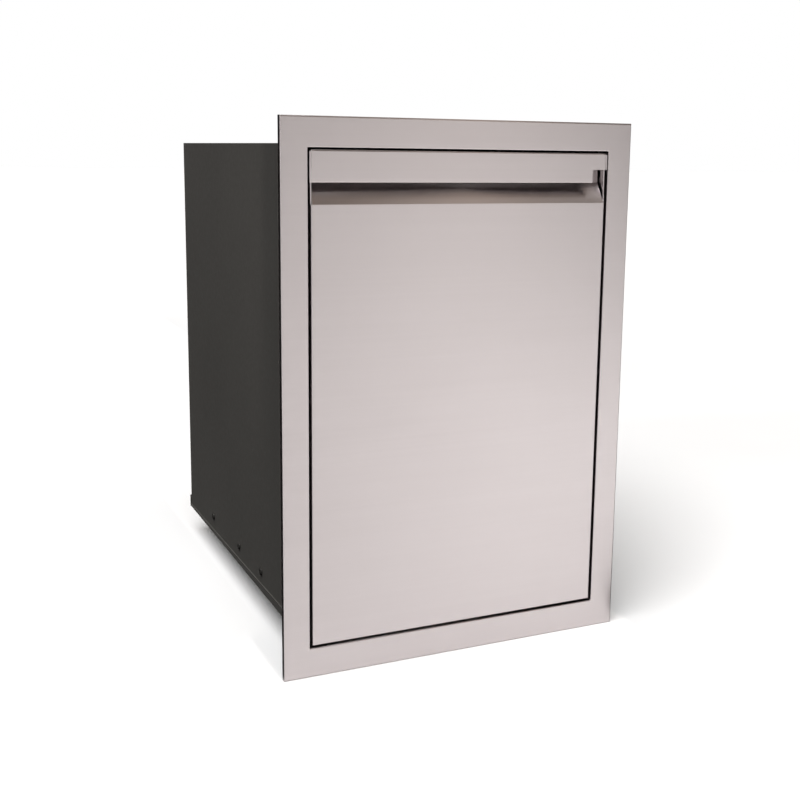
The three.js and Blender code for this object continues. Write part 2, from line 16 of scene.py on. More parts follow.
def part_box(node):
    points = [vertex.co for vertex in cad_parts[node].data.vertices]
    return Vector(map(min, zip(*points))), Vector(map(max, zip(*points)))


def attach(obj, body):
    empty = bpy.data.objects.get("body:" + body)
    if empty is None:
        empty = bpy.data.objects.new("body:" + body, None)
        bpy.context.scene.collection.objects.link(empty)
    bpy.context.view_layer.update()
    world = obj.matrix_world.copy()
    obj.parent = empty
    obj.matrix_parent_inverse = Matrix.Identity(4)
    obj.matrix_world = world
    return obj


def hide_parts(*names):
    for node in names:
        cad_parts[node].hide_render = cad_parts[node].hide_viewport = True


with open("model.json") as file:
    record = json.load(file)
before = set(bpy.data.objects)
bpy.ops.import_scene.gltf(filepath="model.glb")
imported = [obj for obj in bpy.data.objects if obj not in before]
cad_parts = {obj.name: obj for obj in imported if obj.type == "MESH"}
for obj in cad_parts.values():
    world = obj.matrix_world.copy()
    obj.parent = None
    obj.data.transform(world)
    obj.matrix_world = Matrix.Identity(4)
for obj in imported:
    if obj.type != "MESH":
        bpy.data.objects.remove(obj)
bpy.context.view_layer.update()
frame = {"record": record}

# ---- Sizes ----

MM = 0.001
SHEET = 1.2 * MM
FRAME_SHEET = 1.5 * MM
GAP = 0.3 * MM
BEND = 0.6 * MM  # inside radius of a folded sheet

FRAME_LOW, FRAME_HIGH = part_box("face_frame")
FACE_Y = FRAME_LOW.y
FRONT_LOW, FRONT_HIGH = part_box("drawer_front")
_, TRAY_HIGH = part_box("bin_tray")

STILE = 30.7 * MM  # width of the frame at the sides
TOP_RAIL = 32.5 * MM
BOTTOM_RAIL = 34 * MM
OPENING_HALF = FRAME_HIGH.x - STILE
OPENING_BOTTOM = FRAME_LOW.z + BOTTOM_RAIL
OPENING_TOP = FRAME_HIGH.z - TOP_RAIL
RETURN_DEPTH = 7.5 * MM
HEM_WIDTH = 11.5 * MM
COLLAR_DEPTH = 23 * MM

FRONT_HALF = FRONT_HIGH.x
RECESS_BOTTOM = 530 * MM
RECESS_TOP = 552.9 * MM
RECESS_END_GAP = 1.8 * MM
RECESS_DEPTH = 16.5 * MM  # to the rear of its sheet
EDGE_SETBACK = 2.2 * MM  # the side folds are cut back where the recess opens
SIDE_DRAFT = 1.5 * MM  # how far the side folds lean out behind the face
DRAFT_DEPTH = 7 * MM  # and the depth at which they stand straight
NOTCH_WIDTH = 19.3 * MM
NOTCH_HEIGHT = 15.1 * MM

PAN_BOTTOM = 38 * MM
PAN_EDGE_FRONT = 13 * MM
PAN_EDGE_REAR = 4 * MM
REAR_FOLD = 16 * MM

# The slides. Their screws, slots and lever are set by depth behind the face.
SLIDE_Z = 64 * MM
SLIDE_SCREW_Y = [178 * MM, 280 * MM, 416 * MM]
TRAY_SCREW_Y = [120 * MM, 440 * MM]
OUTER_SLOT_Y = [100 * MM, 229 * MM, 348 * MM, 480 * MM]
MIDDLE_SLOT_Y = [76 * MM, 176 * MM, 276 * MM, 376 * MM, 476 * MM]
INNER_SLOT_Y = [70 * MM, 165 * MM, 350 * MM, 490 * MM]
SLOT_HALF_LENGTH = 18 * MM
SLOT_RADIUS = 5 * MM
LEVER_PIVOT_Y = 262 * MM
BALL_RADIUS = 2 * MM
BALLS_PER_ROW = 6
RETAINER_SHEET = 0.6 * MM
OUTER_BALL_X = 178 * MM
INNER_BALL_X = 176.5 * MM

BRACKET_SCREW_Z = [200 * MM, 380 * MM]
DRAIN_HOLES = [(side * 120 * MM, y * MM) for side in (-1, 1) for y in (80, 450)]
LIGHTENING_HOLES = [
    (85 * MM, 190 * MM, 24 * MM),
    (62 * MM, 280 * MM, 15 * MM),
    (48 * MM, 350 * MM, 8 * MM),
]
BIN_BANDS = [120 * MM, 360 * MM]
HEAD_HEIGHT = 2.2 * MM

BOTH_SIDES = (-1, 1)
QUARTER_TURN = [k / 5 * math.pi / 2 for k in range(6)]


def side_name(side):
    return "left" if side < 0 else "right"


# ---- Node helpers ----


def new_material(name):
    material = bpy.data.materials.new(name)
    material.use_nodes = True
    nodes = material.node_tree.nodes
    nodes.clear()
    shader = nodes.new("ShaderNodeBsdfPrincipled")
    output = nodes.new("ShaderNodeOutputMaterial")
    material.node_tree.links.new(shader.outputs["BSDF"], output.inputs["Surface"])
    return material, nodes, material.node_tree.links, shader


def noise_node(nodes, links, scale, stretch=(1, 1, 1), detail=3.0, shift=(0, 0, 0)):
    """A noise texture in the piece's own coordinates, stretched along the axes."""
    place = nodes.new("ShaderNodeTexCoord")
    mapping = nodes.new("ShaderNodeMapping")
    mapping.inputs["Scale"].default_value = stretch
    mapping.inputs["Location"].default_value = shift
    texture = nodes.new("ShaderNodeTexNoise")
    texture.inputs["Scale"].default_value = scale
    texture.inputs["Detail"].default_value = detail
    texture.inputs["Roughness"].default_value = 0.5
    links.new(place.outputs["Object"], mapping.inputs["Vector"])
    links.new(mapping.outputs["Vector"], texture.inputs["Vector"])
    return texture.outputs["Fac"]


def spread(nodes, links, value, low, high, source=(0.3, 0.7)):
    """Maps a texture's value onto a range."""
    ranged = nodes.new("ShaderNodeMapRange")
    ranged.inputs["From Min"].default_value = source[0]
    ranged.inputs["From Max"].default_value = source[1]
    ranged.inputs["To Min"].default_value = low
    ranged.inputs["To Max"].default_value = high
    links.new(value, ranged.inputs["Value"])
    return ranged.outputs["Result"]


def colour_between(nodes, links, value, dark, light):
    mix = nodes.new("ShaderNodeMix")
    mix.data_type = "RGBA"
    mix.inputs["A"].default_value = (*dark, 1)
    mix.inputs["B"].default_value = (*light, 1)
    links.new(value, mix.inputs["Factor"])
    return mix.outputs["Result"]


def bump(nodes, links, shader, heights):
    """Chains bumps: each is (value, distance in metres, strength)."""
    normal = None
    for value, distance, strength in heights:
        node = nodes.new("ShaderNodeBump")
        node.inputs["Distance"].default_value = distance
        node.inputs["Strength"].default_value = strength
        links.new(value, node.inputs["Height"])
        if normal is not None:
            links.new(normal, node.inputs["Normal"])
        normal = node.outputs["Normal"]
    links.new(normal, shader.inputs["Normal"])


# ---- Materials ----


def brushed_steel(name, dark, light, grain, roughness, anisotropy=0.0):
    """Stainless sheet with fine lines along the axis whose stretch is small in grain. Anisotropy
    draws its reflections out upright, across lines that run level around the object."""
    material, nodes, links, shader = new_material(name)
    shader.inputs["Metallic"].default_value = 1.0
    shader.inputs["Anisotropic"].default_value = anisotropy
    shader.inputs["Anisotropic Rotation"].default_value = 0.25
    level = nodes.new("ShaderNodeTangent")
    level.direction_type = "RADIAL"
    level.axis = "Z"
    links.new(level.outputs["Tangent"], shader.inputs["Tangent"])
    fine = noise_node(nodes, links, 1.0, grain, detail=2.0)
    streak = noise_node(nodes, links, 0.22, grain, detail=4.0, shift=(3, 5, 7))
    cloud = noise_node(nodes, links, 9.0, detail=3.0)
    blend = nodes.new("ShaderNodeMix")
    blend.inputs["Factor"].default_value = 0.45
    links.new(streak, blend.inputs["A"])
    links.new(cloud, blend.inputs["B"])
    tone = colour_between(
        nodes, links, spread(nodes, links, blend.outputs["Result"], 0, 1, (0.2, 0.8)), dark, light
    )
    links.new(tone, shader.inputs["Base Color"])
    rough = spread(nodes, links, fine, roughness - 0.03, roughness + 0.03)
    links.new(rough, shader.inputs["Roughness"])
    bump(nodes, links, shader, [(fine, 0.01 * MM, 0.2), (streak, 0.02 * MM, 0.06)])
    return material


def coated_sheet():
    """Dark satin sheet, with a fine orange peel and faint handling marks. Its near-black tone is painted
    shade, standing for the dark reflection on the cabinet's metal sides.
    """
    material, nodes, links, shader = new_material("coated_sheet")
    cloud = noise_node(nodes, links, 4.0, detail=2.0)
    scuff = noise_node(nodes, links, 160.0, detail=6.0, shift=(1, 2, 3))
    peel = noise_node(nodes, links, 900.0, detail=2.0)
    # near-black tone: painted shade for the dark reflection on the cabinet's sides
    tone = colour_between(
        nodes, links, spread(nodes, links, cloud, 0, 1), (0.092, 0.088, 0.082), (0.100, 0.0955, 0.089)
    )
    links.new(tone, shader.inputs["Base Color"])
    links.new(spread(nodes, links, scuff, 0.50, 0.58), shader.inputs["Roughness"])
    shader.inputs["Specular IOR Level"].default_value = 0.2
    bump(nodes, links, shader, [(peel, 0.05 * MM, 0.3)])
    return material


def zinc_steel():
    """Zinc-plated steel: bright, a little blue, with rolled streaks along the slide."""
    material, nodes, links, shader = new_material("zinc_steel")
    shader.inputs["Metallic"].default_value = 1.0
    flow = noise_node(nodes, links, 60.0, (1, 0.12, 1), detail=4.0)
    tone = colour_between(
        nodes, links, spread(nodes, links, flow, 0, 1), (0.52, 0.54, 0.57), (0.70, 0.71, 0.71)
    )
    links.new(tone, shader.inputs["Base Color"])
    links.new(spread(nodes, links, flow, 0.24, 0.40), shader.inputs["Roughness"])
    bump(nodes, links, shader, [(flow, 0.03 * MM, 0.2)])
    return material


def dark_screw():
    """Black oxide: nearly matt, with paler worn specks."""
    material, nodes, links, shader = new_material("dark_screw")
    shader.inputs["Specular IOR Level"].default_value = 0.25
    wear = noise_node(nodes, links, 700.0, detail=4.0)
    tone = colour_between(
        nodes, links, spread(nodes, links, wear, 0, 1), (0.022, 0.021, 0.019), (0.038, 0.036, 0.033)
    )
    links.new(tone, shader.inputs["Base Color"])
    links.new(spread(nodes, links, wear, 0.35, 0.55), shader.inputs["Roughness"])
    return material


def moulded(name, dark, light, roughness, grain_scale, grain_depth, specular=0.5):
    """Moulded plastic or rubber: a fine stipple over a slightly uneven tone."""
    material, nodes, links, shader = new_material(name)
    cloud = noise_node(nodes, links, 12.0, detail=4.0)
    stipple = noise_node(nodes, links, grain_scale, detail=1.0)
    tone = colour_between(nodes, links, spread(nodes, links, cloud, 0, 1), dark, light)
    links.new(tone, shader.inputs["Base Color"])
    links.new(
        spread(nodes, links, cloud, roughness - 0.05, roughness + 0.06), shader.inputs["Roughness"]
    )
    shader.inputs["Specular IOR Level"].default_value = specular
    bump(nodes, links, shader, [(stipple, grain_depth, 0.5)])
    return material


HORIZONTAL_GRAIN = (7, 900, 1500)
DEPTH_GRAIN = (1500, 7, 1500)

STEEL = brushed_steel(
    "brushed_stainless", (0.55, 0.508, 0.51), (0.572, 0.53, 0.532), HORIZONTAL_GRAIN, 0.32, 0.85
)
INNER_STEEL = brushed_steel(
    "inner_stainless", (0.50, 0.49, 0.48), (0.62, 0.61, 0.60), DEPTH_GRAIN, 0.36
)
# The cabinet sheet: its near-black tone is painted shade.
SHADE_DARK_CABINET_SHEET = coated_sheet()
ZINC = zinc_steel()
DARK_SCREW = dark_screw()
RUBBER = moulded("rubber", (0.012, 0.012, 0.012), (0.022, 0.022, 0.022), 0.8, 1400, 0.1 * MM, 0.3)
LEVER_PLASTIC = moulded("lever_plastic", (0.02, 0.02, 0.022), (0.035, 0.035, 0.038), 0.5, 1500, 0.05 * MM)
BIN_PLASTIC = moulded("bin_plastic", (0.030, 0.031, 0.033), (0.048, 0.050, 0.053), 0.52, 1100, 0.12 * MM)

SLOT_MATERIALS = {
    "brushed_stainless": STEEL,
    "inner_stainless": INNER_STEEL,
    "coated_sheet": SHADE_DARK_CABINET_SHEET,
    "zinc_steel": ZINC,
    "dark_screw": DARK_SCREW,
    "rubber": RUBBER,
    "lever_plastic": LEVER_PLASTIC,
    "bin_plastic": BIN_PLASTIC,
}
NODE_SLOT = {row["node"]: row["material_slot"] for row in frame["record"]["subparts"]}
NODE_BODY = {
    node: body for body, nodes in frame["record"]["behaviour"]["bodies"].items() for node in nodes
}


# ---- Mesh helpers ----


def fillet(points, radii):
    """A polyline with its inner corners turned into arcs. radii has one value per inner corner."""
    steps = 5
    path = [Vector(points[0])]
    for index, radius in enumerate(radii, start=1):
        before, corner, after = (Vector(points[index + k]) for k in (-1, 0, 1))
        into = (corner - before).normalized()
        out = (after - corner).normalized()
        turn = math.atan2(into.x * out.y - into.y * out.x, into.dot(out))
        reach = radius * math.tan(abs(turn) / 2)
        start = corner - into * reach
        normal = Vector((-into.y, into.x)) * math.copysign(1, turn)
        centre = start + normal * radius
        for step in range(steps + 1):
            spin = Matrix.Rotation(turn * step / steps, 2)
            path.append(centre + spin @ (start - centre))
    path.append(Vector(points[-1]))
    return path


def offset_right(points, distance):
    """The polyline moved to its right-hand side, with sharp corners kept."""
    moved = []
    for index, point in enumerate(points):
        here = Vector(point)
        directions = []
        if index > 0:
            directions.append((here - Vector(points[index - 1])).normalized())
        if index < len(points) - 1:
            directions.append((Vector(points[index + 1]) - here).normalized())
        normals = [Vector((d.y, -d.x)) for d in directions]
        if len(normals) == 1:
            moved.append(here + normals[0] * distance)
        else:
            middle = (normals[0] + normals[1]).normalized()
            moved.append(here + middle * (distance / middle.dot(normals[0])))
    return moved


def sheet_edges(points, thickness, inside_radii):
    """Both faces of a bent sheet, as matching paths. The sheet lies right of the points' path, and
    has one inside radius for every bend."""
    far = offset_right(points, thickness)
    near_radii, far_radii = [], []
    for index, radius in enumerate(inside_radii, start=1):
        into = Vector(points[index]) - Vector(points[index - 1])
        out = Vector(points[index + 1]) - Vector(points[index])
        turns_right = into.x * out.y - into.y * out.x < 0
        near_radii.append(radius + (thickness if turns_right else 0))
        far_radii.append(radius + (0 if turns_right else thickness))
    return fillet(points, near_radii), fillet(far, far_radii)


AXES = {
    "x": lambda a, b, along: (along, a, b),
    "y": lambda a, b, along: (a, along, b),
    "z": lambda a, b, along: (a, b, along),
}


def mesh_object(name, verts, faces):
    mesh = bpy.data.meshes.new(name)
    mesh.from_pydata([tuple(v) for v in verts], [], faces)
    work = bmesh.new()
    work.from_mesh(mesh)
    bmesh.ops.remove_doubles(work, verts=work.verts, dist=1e-6)
    bmesh.ops.recalc_face_normals(work, faces=work.faces)
    work.to_mesh(mesh)
    work.free()
    piece = bpy.data.objects.new(name, mesh)
    bpy.context.scene.collection.objects.link(piece)
    return piece


def bent_sheet(name, points, span, axis, thickness=SHEET, inside_radius=BEND, inside_radii=None):
    """A folded sheet, from its path across the fold and its span along the axis. inside_radii, one
    for each bend, take the place of a single inside_radius."""
    near, far = sheet_edges(points, thickness, inside_radii or [inside_radius] * (len(points) - 2))
    place = AXES[axis]
    verts = []
    for along in span:
        verts += [place(a, b, along) for a, b in near]
        verts += [place(a, b, along) for a, b in far]
    count = len(near)
    faces = []
    for i in range(count - 1):
        for end in (0, 2 * count):
            faces.append((end + i, end + i + 1, end + count + i + 1, end + count + i))
        for row in (0, count):
            faces.append((row + i, row + i + 1, 2 * count + row + i + 1, 2 * count + row + i))
    for i in (0, count - 1):
        faces.append((i, count + i, 3 * count + i, 2 * count + i))
    return mesh_object(name, verts, faces)


def prism(name, outline, span, axis):
    """A flat outline carried along an axis, from the span's start to its end."""
    place = AXES[axis]
    count = len(outline)
    verts = [place(a, b, along) for along in span for a, b in outline]
    faces = [tuple(range(count)), tuple(range(count, 2 * count))]
    faces += [(i, (i + 1) % count, count + (i + 1) % count, count + i) for i in range(count)]
    return mesh_object(name, verts, faces)


def round_outline(centre, radius, steps=24):
    angles = [2 * math.pi * k / steps for k in range(steps)]
    return [(centre[0] + radius * math.cos(t), centre[1] + radius * math.sin(t)) for t in angles]


def slot_outline(centre, half_length, radius):
    """A round-ended slot, long along the first coordinate."""
    steps = 8
    straight = half_length - radius
    points = []
    for end in (1, -1):
        for step in range(steps + 1):
            angle = math.pi * (step / steps - 0.5)
            u = end * (straight + radius * math.cos(angle))
            points.append((centre[0] + u, centre[1] + end * radius * math.sin(angle)))
    return points


def block(name, low, high):
    """A plain block, only used to cut or join other meshes."""
    verts = [(x, y, z) for x in (low[0], high[0]) for y in (low[1], high[1]) for z in (low[2], high[2])]
    faces = [(0, 1, 3, 2), (4, 6, 7, 5), (0, 4, 5, 1), (2, 3, 7, 6), (0, 2, 6, 4), (1, 5, 7, 3)]
    return mesh_object(name, verts, faces)


def ring(low, high, radius, depth, steps=5, plane="xz"):
    """A rounded rectangle of points at one depth. low and high are its corners in the plane."""
    radius = max(radius, 0.05 * MM)
    points = []
    corners = [(1, 1, 0), (-1, 1, 1), (-1, -1, 2), (1, -1, 3)]
    for sign_a, sign_b, quarter in corners:
        a = (high[0] if sign_a > 0 else low[0]) - sign_a * radius
        b = (high[1] if sign_b > 0 else low[1]) - sign_b * radius
        for step in range(steps + 1):
            angle = (quarter + step / steps) * math.pi / 2
            u, v = a + radius * math.cos(angle), b + radius * math.sin(angle)
            points.append((u, depth, v) if plane == "xz" else (u, v, depth))
    return points


def loft(name, rings, closed=False):
    """A skin over rings of equal count. closed joins the last ring to the first; otherwise the
    first and last rings are capped."""
    count = len(rings[0])
    verts = [point for points in rings for point in points]
    pairs = list(range(len(rings) - 1)) + ([len(rings) - 1] if closed else [])
    faces = []
    for i in pairs:
        following = (i + 1) % len(rings)
        for j in range(count):
            k = (j + 1) % count
            faces.append((i * count + j, i * count + k, following * count + k, following * count + j))
    if not closed:
        faces.append(tuple(range(count)))
        faces.append(tuple((len(rings) - 1) * count + j for j in range(count)))
    return mesh_object(name, verts, faces)


def turned(name, profile, place, direction, segments=32):
    """A turned shape: (radius, distance) points from axis to axis, along a direction."""
    spin = Vector((0, 0, 1)).rotation_difference(Vector(direction)).to_matrix()
    verts, faces = [], []
    for radius, distance in profile:
        for step in range(segments):
            angle = 2 * math.pi * step / segments
            local = Vector((radius * math.cos(angle), radius * math.sin(angle), distance))
            verts.append(Vector(place) + spin @ local)
    for i in range(len(profile) - 1):
        for j in range(segments):
            k = (j + 1) % segments
            a, b = i * segments, (i + 1) * segments
            faces.append((a + j, a + k, b + k, b + j))
    return mesh_object(name, verts, faces)


def apply_modifier(piece, modifier):
    depsgraph = bpy.context.evaluated_depsgraph_get()
    result = bpy.data.meshes.new_from_object(piece.evaluated_get(depsgraph))
    piece.modifiers.remove(modifier)
    piece.data = result
    return piece


def combine(piece, others, operation):
    """Joins other solids to a piece, or cuts them from it, and removes them."""
    for other in others:
        modifier = piece.modifiers.new("solid", "BOOLEAN")
        modifier.operation = operation
        modifier.solver = "EXACT"
        modifier.object = other
        bpy.context.view_layer.update()
        apply_modifier(piece, modifier)
        bpy.data.objects.remove(other)
    return piece


def cut(piece, *cutters):
    return combine(piece, cutters, "DIFFERENCE")


def join(piece, *others):
    return combine(piece, others, "UNION")


def merge(name, pieces):
    """One object from several, as separate shells."""
    work = bmesh.new()
    for piece in pieces:
        work.from_mesh(piece.data)
        bpy.data.objects.remove(piece)
    mesh = bpy.data.meshes.new(name)
    work.to_mesh(mesh)
    work.free()
    merged = bpy.data.objects.new(name, mesh)
    bpy.context.scene.collection.objects.link(merged)
    return merged


def soften(piece, width, segments=2):
    """Rounds the sheared edges a little."""
    modifier = piece.modifiers.new("edges", "BEVEL")
    modifier.width = width
    modifier.segments = segments
    modifier.limit_method = "ANGLE"
    modifier.angle_limit = math.radians(40)
    modifier.use_clamp_overlap = True
    bpy.context.view_layer.update()
    return apply_modifier(piece, modifier)


def place_piece(piece, node, smooth_angle=32):
    """Shades a finished piece, and gives it the material, body and place of the CAD node."""
    piece.data.shade_smooth()
    piece.data.set_sharp_from_angle(angle=math.radians(smooth_angle))
    even = piece.modifiers.new("normals", "WEIGHTED_NORMAL")
    even.keep_sharp = True
    bpy.context.view_layer.update()
    apply_modifier(piece, even)
    piece.data.materials.clear()
    piece.data.materials.append(SLOT_MATERIALS[NODE_SLOT[node]])
    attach(piece, NODE_BODY[node])
    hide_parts(node)
    return piece


# ---- Camera, floor and light ----


def make_camera():
    """The viewpoint: left of the frame, in front and a little above its top."""
    data = bpy.data.cameras.new("camera")
    data.sensor_width = 36
    data.lens = 51.68
    data.shift_x = -0.0349
    data.shift_y = -0.0588
    data.clip_end = 50
    camera = bpy.data.objects.new("camera", data)
    bpy.context.scene.collection.objects.link(camera)
    left_of_frame, in_front, height = 360.5 * MM, 1155.2 * MM, 587.9 * MM
    camera.location = (FRAME_LOW.x - left_of_frame, FACE_Y - in_front, FRAME_LOW.z + height)
    yaw, pitch, roll = CAMERA_TURN
    aim = (
        Matrix.Rotation(yaw, 4, "Z") @ Matrix.Rotation(pitch, 4, "X") @ Matrix.Rotation(roll, 4, "Z")
    )
    camera.rotation_mode = "QUATERNION"
    camera.rotation_quaternion = aim.to_quaternion()
    bpy.context.scene.camera = camera


CAMERA_TURN = (math.radians(-24.724), math.radians(79.993), math.radians(0.792))


def make_floor():
    """A pale floor, large enough to fill the view."""
    half = 30.0
    floor = mesh_object(
        "floor", [(-half, -half, 0), (half, -half, 0), (half, half, 0), (-half, half, 0)], [(0, 1, 2, 3)]
    )
    material, nodes, links, shader = new_material("pale_floor")
    tone = colour_between(
        nodes,
        links,
        spread(nodes, links, noise_node(nodes, links, 2.0), 0, 1),
        (0.90, 0.90, 0.90),
        (0.92, 0.92, 0.92),
    )
    links.new(tone, shader.inputs["Base Color"])
    shader.inputs["Roughness"].default_value = 0.9
    floor.data.materials.append(material)


def ramp(nodes, links, value, stops):
    """A colour ramp: each stop is (position, colour)."""
    node = nodes.new("ShaderNodeValToRGB")
    elements = node.color_ramp.elements
    while len(elements) < len(stops):
        elements.new(0.5)
    for element, (position, colour) in zip(elements, stops):
        element.position = position
        element.color = (*colour, 1)
    links.new(value, node.inputs["Fac"])
    return node.outputs["Color"]


def blend_colours(nodes, links, first, second, kind="MULTIPLY"):
    """Two colours multiplied together, or with another kind of blend, such as a sum."""
    node = nodes.new("ShaderNodeMix")
    node.data_type = "RGBA"
    node.blend_type = kind
    node.inputs["Factor"].default_value = 1.0
    links.new(first, node.inputs["A"])
    links.new(second, node.inputs["B"])
    return node.outputs["Result"]


def make_world():
    """A studio surround: a bright band low on the right, with darkness beyond it, and above it a
    warm glow that is dark overhead. The camera itself sees a plain white backdrop. Directions run
    from -1 to 1, and the ramps read them as 0 to 1."""
    world = bpy.data.worlds.new("studio")
    world.use_nodes = True
    bpy.context.scene.world = world
    nodes, links = world.node_tree.nodes, world.node_tree.links
    background = nodes["Background"]
    place = nodes.new("ShaderNodeTexCoord")
    parts = nodes.new("ShaderNodeSeparateXYZ")
    links.new(place.outputs["Generated"], parts.inputs["Vector"])
    height = spread(nodes, links, parts.outputs["Z"], 0, 1, (-1, 1))
    sideways = spread(nodes, links, parts.outputs["X"], 0, 1, (-1, 1))
    low = blend_colours(
        nodes, links, ramp(nodes, links, height, LOW_BY_HEIGHT), ramp(nodes, links, sideways, LOW_BY_SIDE)
    )
    high = blend_colours(
        nodes, links, ramp(nodes, links, height, HIGH_BY_HEIGHT), ramp(nodes, links, sideways, HIGH_BY_SIDE)
    )
    total = blend_colours(nodes, links, low, high, "ADD")
    seen = nodes.new("ShaderNodeLightPath")
    mix = nodes.new("ShaderNodeMix")
    mix.data_type = "RGBA"
    links.new(seen.outputs["Is Camera Ray"], mix.inputs["Factor"])
    links.new(total, mix.inputs["A"])
    mix.inputs["B"].default_value = (1, 1, 1, 1)
    links.new(mix.outputs["Result"], background.inputs["Color"])
    background.inputs["Strength"].default_value = 1.0


def grey(value):
    return (value, value, value)


LOW_BY_HEIGHT = ((0.0, grey(1.0)), (0.53, grey(1.0)), (0.56, grey(0.6)), (0.60, grey(0.0)))
LOW_BY_SIDE = (
    (0.0, grey(0.3)),
    (0.5, grey(0.35)),
    (0.6, grey(0.6)),
    (0.66, grey(0.95)),
    (0.73, grey(1.6)),
    (0.76, grey(1.1)),
    (0.78, grey(0.35)),
    (0.79, grey(0.05)),
)
HIGH_BY_HEIGHT = ((0.55, grey(0.0)), (0.65, grey(1.0)), (0.94, grey(1.0)), (0.98, grey(0.15)))
HIGH_BY_SIDE = (
    (0.0, (0.13, 0.104, 0.086)),
    (0.66, (0.18, 0.144, 0.118)),
    (0.70, (0.38, 0.306, 0.25)),
    (0.732, (0.78, 0.63, 0.515)),
    (0.746, (0.70, 0.565, 0.46)),
    (0.76, (0.30, 0.24, 0.198)),
    (0.774, (0.0, 0.0, 0.0)),
)


def add_light(name, kind, power, place, turn):
    data = bpy.data.lights.new(name, kind)
    data.energy = power
    light = bpy.data.objects.new(name, data)
    light.location = place
    light.rotation_euler = [math.radians(angle) for angle in turn]
    bpy.context.scene.collection.objects.link(light)
    return data


def make_light():
    """A broad key light from high on the front left, and a pool of light on the floor at the front
    right. The pool's light points straight down, so the object gets only the edge of its beam."""
    make_world()
    key = add_light("key", "SUN", 3.8, (0, 0, 2), (14, -21, 0))
    key.angle = math.radians(50)
    pool = add_light("pool", "AREA", 3.6, (0.72, -1.05, 1.5), (0, 0, 0))
    pool.shape = "RECTANGLE"
    pool.size = 0.8
    pool.size_y = 1.3
    pool.spread = math.radians(60)
    flag("left_flag", (-0.195, -1.1), (-0.26, 2.6))
    flag("edge_flag", (-0.2175, -0.2175), (FACE_Y, -0.15))
    flag("right_flag", (0.24, 1.3), (-0.33, 2.6))
    bpy.context.scene.view_settings.view_transform = "Standard"


def flag(name, across, along):
    """A black card that leans away from the object's foot. The camera and shadows pass through it,
    but it shows in reflections, and gives the folded edges their dark lines."""
    foot, head = across
    near, far = along
    corners = [(foot, near, MM), (foot, far, MM), (head, far, 1.8), (head, near, 1.8)]
    card = mesh_object(name, corners, [(0, 1, 2, 3)])
    material, _, _, shader = new_material(name)
    shader.inputs["Base Color"].default_value = (0.01, 0.01, 0.01, 1)
    card.data.materials.append(material)
    card.visible_camera = False
    card.visible_shadow = False


# ---- Face frame ----


def face_frame():
    """The flange: a hem and return at the outer edge, the face, and a rolled collar inside."""
    outer_bend = 1.8 * MM
    inner_bend = 1.1 * MM
    outer_corner = 0.5 * MM
    inner_corner = 0.9 * MM

    def outer(inset, depth):
        low = (FRAME_LOW.x + inset, FRAME_LOW.z + inset)
        high = (FRAME_HIGH.x - inset, FRAME_HIGH.z - inset)
        return ring(low, high, max(outer_corner - inset, 0), FACE_Y + depth)

    def inner(growth, depth):
        low = (-OPENING_HALF - growth, OPENING_BOTTOM - growth)
        high = (OPENING_HALF + growth, OPENING_TOP + growth)
        return ring(low, high, inner_corner + growth, FACE_Y + depth)

    rings = [outer(HEM_WIDTH, RETURN_DEPTH)]
    for turn in QUARTER_TURN:
        back = RETURN_DEPTH - outer_bend * (1 - math.cos(turn))
        rings.append(outer(outer_bend * (1 - math.sin(turn)), back))
    for turn in QUARTER_TURN:
        rings.append(outer(outer_bend * (1 - math.cos(turn)), outer_bend * (1 - math.sin(turn))))
    for turn in QUARTER_TURN:
        rings.append(inner(inner_bend * (1 - math.sin(turn)), inner_bend * (1 - math.cos(turn))))
    rings += [
        inner(0, COLLAR_DEPTH),
        inner(FRAME_SHEET, COLLAR_DEPTH),
        inner(FRAME_SHEET, FRAME_SHEET + 0.3 * MM),
        inner(FRAME_SHEET + 0.3 * MM, FRAME_SHEET),
        outer(FRAME_SHEET + 0.3 * MM, FRAME_SHEET),
        outer(FRAME_SHEET, FRAME_SHEET + 0.3 * MM),
        outer(FRAME_SHEET, RETURN_DEPTH - FRAME_SHEET - 0.3 * MM),
        outer(FRAME_SHEET + 0.3 * MM, RETURN_DEPTH - FRAME_SHEET),
        outer(HEM_WIDTH, RETURN_DEPTH - FRAME_SHEET),
    ]
    place_piece(loft("frame_flange", rings, closed=True), "face_frame")


# ---- Drawer front ----


def drawer_front():
    """A pan with rolled edges, joined to the bent sheet of the recess, its back wall and the lip."""
    bend = 1.8 * MM
    top = FRONT_HIGH.z
    pan = front_shell("front_pan", bend, 0, FRONT_HIGH.y)
    hollow = front_shell("hollow", bend - SHEET, SHEET, FRONT_HIGH.y + 5 * MM)
    far = FRONT_HALF + 5 * MM
    recess_half = FRONT_HALF - SHEET - RECESS_END_GAP
    mouth_low = RECESS_BOTTOM - 3 * MM
    mouth = block(
        "mouth",
        (-recess_half, FACE_Y - 5 * MM, mouth_low),
        (recess_half, FACE_Y + 2 * SHEET, top - 2 * bend),
    )
    ends = block(
        "ends", (-far, FACE_Y - 5 * MM, RECESS_BOTTOM), (far, FACE_Y + EDGE_SETBACK, RECESS_TOP)
    )
    cut(pan, hollow, mouth, ends)
    join(pan, *lip_corners(bend))

    hem_gap = 0.3 * MM
    hem_radius = 0.14 * MM
    inner_y = FACE_Y + SHEET
    wall_y = FACE_Y + RECESS_DEPTH - SHEET
    hem_bottom = RECESS_TOP + SHEET
    hem_top = RECESS_TOP + NOTCH_HEIGHT
    path = [
        (FACE_Y, mouth_low - 2 * MM),
        (FACE_Y, RECESS_BOTTOM),
        (wall_y, RECESS_TOP),
        (wall_y, top - SHEET),
        (inner_y, top - SHEET),
        (inner_y, hem_bottom),
        (inner_y + hem_gap, hem_bottom),
        (inner_y + hem_gap, hem_top),
    ]
    radii = [BEND, BEND, BEND, BEND, hem_radius, hem_radius]
    join(pan, bent_sheet("recess", path, (-recess_half, recess_half), "x", inside_radii=radii))
    lip_ends(pan, hem_top)
    place_piece(pan, "drawer_front")


